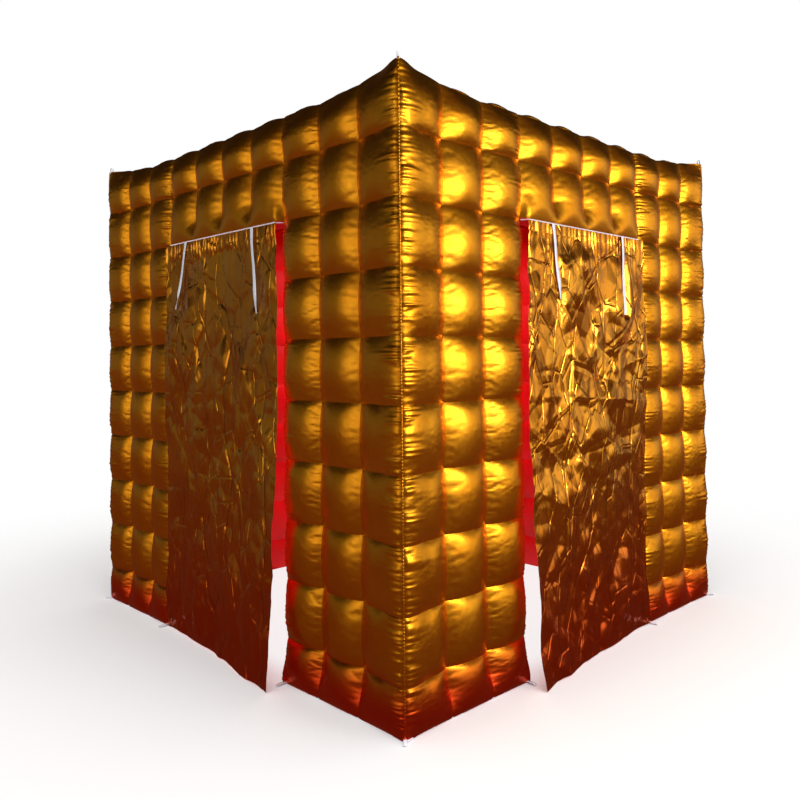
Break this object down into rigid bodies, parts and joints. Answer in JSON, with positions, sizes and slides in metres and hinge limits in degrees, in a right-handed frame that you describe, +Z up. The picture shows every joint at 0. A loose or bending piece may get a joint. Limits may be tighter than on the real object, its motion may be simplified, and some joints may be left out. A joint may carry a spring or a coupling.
{
  "type": "photo booth",
  "caption": "Cube-shaped inflatable photo booth with quilted double-skin walls, two curtained doorways, a built-in fan and anchor loops",
  "frame": {"origin": "middle of the footprint on the floor", "axes": "+Z up; -Y out of the front doorway, -X out of the left doorway"},
  "size_m": [2.5776, 2.5776, 2.525],
  "materials": {
    "gold_fabric": "satin",
    "red_fabric": "satin",
    "web_fabric": "matte",
    "gold_tape": "satin",
    "binding": "matte",
    "webbing": "matte",
    "heading_band": "satin",
    "gold_foil": "polished",
    "ribbon": "satin",
    "black_plastic": "satin",
    "dark_plastic": "gloss",
    "steel": "satin",
    "motor_metal": "satin",
    "brass_pin": "polished",
    "rocker_red": "gloss",
    "zip_fabric": "matte",
    "zip_nylon": "satin",
    "zip_metal": "polished",
    "led": "gloss",
    "white_plastic": "satin",
    "button_rubber": "matte"
  },
  "bodies": {
    "booth": {"base_binding": "binding", "base_loops": "webbing", "base_panels": "red_fabric", "blower_flange": "black_plastic", "blower_motor": "motor_metal", "blower_scroll": "black_plastic", "ceiling_skin": "red_fabric", "controller_box": "white_plastic", "corner_tapes": "gold_tape", "flange_screws": "steel", "front_column_webs": "web_fabric", "front_door_reveal": "red_fabric", "front_inner_skin": "red_fabric", "front_outer_skin": "gold_fabric", "header_tapes": "binding", "inlet_pins": "brass_pin", "intake_grille": "black_plastic", "led_strips": "led", "left_column_webs": "web_fabric", "left_door_reveal": "red_fabric", "left_inner_skin": "red_fabric", "left_outer_skin": "gold_fabric", "power_inlet": "dark_plastic", "power_panel": "black_plastic", "rear_column_webs": "web_fabric", "rear_inner_skin": "red_fabric", "rear_outer_skin": "gold_fabric", "right_column_webs": "web_fabric", "right_inner_skin": "red_fabric", "right_outer_skin": "gold_fabric", "roof_edge_tapes": "gold_tape", "roof_outer_skin": "gold_fabric", "roof_ties": "web_fabric", "roof_webs": "web_fabric", "row_ties": "web_fabric", "switch_bezel": "black_plastic", "top_loops": "webbing", "zip_coil": "zip_nylon", "zip_stops": "zip_nylon", "zip_tapes": "zip_fabric"},
    "front_curtain": {"front_curtain_heading": "heading_band", "front_curtain_foil": "gold_foil", "front_curtain_hem": "heading_band"},
    "left_curtain": {"left_curtain_heading": "heading_band", "left_curtain_foil": "gold_foil", "left_curtain_hem": "heading_band"},
    "impeller": {"impeller": "black_plastic", "impeller_shaft": "steel"},
    "rocker": {"rocker": "rocker_red"},
    "zip_slider": {"zip_slider": "zip_metal"},
    "zip_pull": {"zip_pull": "zip_metal"},
    "controller_button": {"controller_button": "button_rubber"},
    "front_ribbon_near": {"front_ribbon_near": "ribbon"},
    "front_ribbon_far": {"front_ribbon_far": "ribbon"},
    "front_inner_ribbon_near": {"front_inner_ribbon_near": "ribbon"},
    "front_inner_ribbon_far": {"front_inner_ribbon_far": "ribbon"},
    "left_ribbon_near": {"left_ribbon_near": "ribbon"},
    "left_ribbon_far": {"left_ribbon_far": "ribbon"},
    "left_inner_ribbon_near": {"left_inner_ribbon_near": "ribbon"},
    "left_inner_ribbon_far": {"left_inner_ribbon_far": "ribbon"}
  },
  "joints": [
    {"name": "front_curtain_lift", "type": "hinge", "parent": "booth", "child": "front_curtain", "pos_m": [0.03, -1.2355, 2.0085], "axis": [-1, 0, 0], "range_deg": [0, 85]},
    {"name": "front_ribbon_near_swing", "type": "hinge", "parent": "front_curtain", "child": "front_ribbon_near", "pos_m": [-0.27, -1.2385, 2.0085], "axis": [-1, 0, 0], "range_deg": [0, 80]},
    {"name": "front_inner_ribbon_near_swing", "type": "hinge", "parent": "booth", "child": "front_inner_ribbon_near", "pos_m": [-0.27, -1.227, 2.0085], "axis": [1, 0, 0], "range_deg": [0, 80]},
    {"name": "front_ribbon_far_swing", "type": "hinge", "parent": "front_curtain", "child": "front_ribbon_far", "pos_m": [0.33, -1.2385, 2.0085], "axis": [-1, 0, 0], "range_deg": [0, 80]},
    {"name": "front_inner_ribbon_far_swing", "type": "hinge", "parent": "booth", "child": "front_inner_ribbon_far", "pos_m": [0.33, -1.227, 2.0085], "axis": [1, 0, 0], "range_deg": [0, 80]},
    {"name": "left_curtain_lift", "type": "hinge", "parent": "booth", "child": "left_curtain", "pos_m": [-1.2355, 0.03, 2.0085], "axis": [0, 1, 0], "range_deg": [0, 85]},
    {"name": "left_ribbon_near_swing", "type": "hinge", "parent": "left_curtain", "child": "left_ribbon_near", "pos_m": [-1.2385, -0.27, 2.0085], "axis": [0, 1, 0], "range_deg": [0, 80]},
    {"name": "left_inner_ribbon_near_swing", "type": "hinge", "parent": "booth", "child": "left_inner_ribbon_near", "pos_m": [-1.227, -0.27, 2.0085], "axis": [0, -1, 0], "range_deg": [0, 80]},
    {"name": "left_ribbon_far_swing", "type": "hinge", "parent": "left_curtain", "child": "left_ribbon_far", "pos_m": [-1.2385, 0.33, 2.0085], "axis": [0, 1, 0], "range_deg": [0, 80]},
    {"name": "left_inner_ribbon_far_swing", "type": "hinge", "parent": "booth", "child": "left_inner_ribbon_far", "pos_m": [-1.227, 0.33, 2.0085], "axis": [0, -1, 0], "range_deg": [0, 80]},
    {"name": "impeller_spin", "type": "hinge", "parent": "booth", "child": "impeller", "pos_m": [0.905, 1.19, 0.32], "axis": [0, 1, 0], "continuous": true},
    {"name": "rocker_tip", "type": "hinge", "parent": "booth", "child": "rocker", "pos_m": [0.937, 1.23, 0.135], "axis": [-1, 0, 0], "range_deg": [0, 22]},
    {"name": "zip_slide", "type": "slide", "parent": "booth", "child": "zip_slider", "axis": [1, 0, 0], "range_m": [0, 0.87]},
    {"name": "zip_pull_swing", "type": "hinge", "parent": "zip_slider", "child": "zip_pull", "pos_m": [-0.885, 1.2389, 0.095], "axis": [1, 0, 0], "range_deg": [0, 150]},
    {"name": "controller_button_press", "type": "slide", "parent": "booth", "child": "controller_button", "axis": [1, 0, 0], "range_m": [0, 0.002], "stiffness_N_per_m": 400}
  ]
}
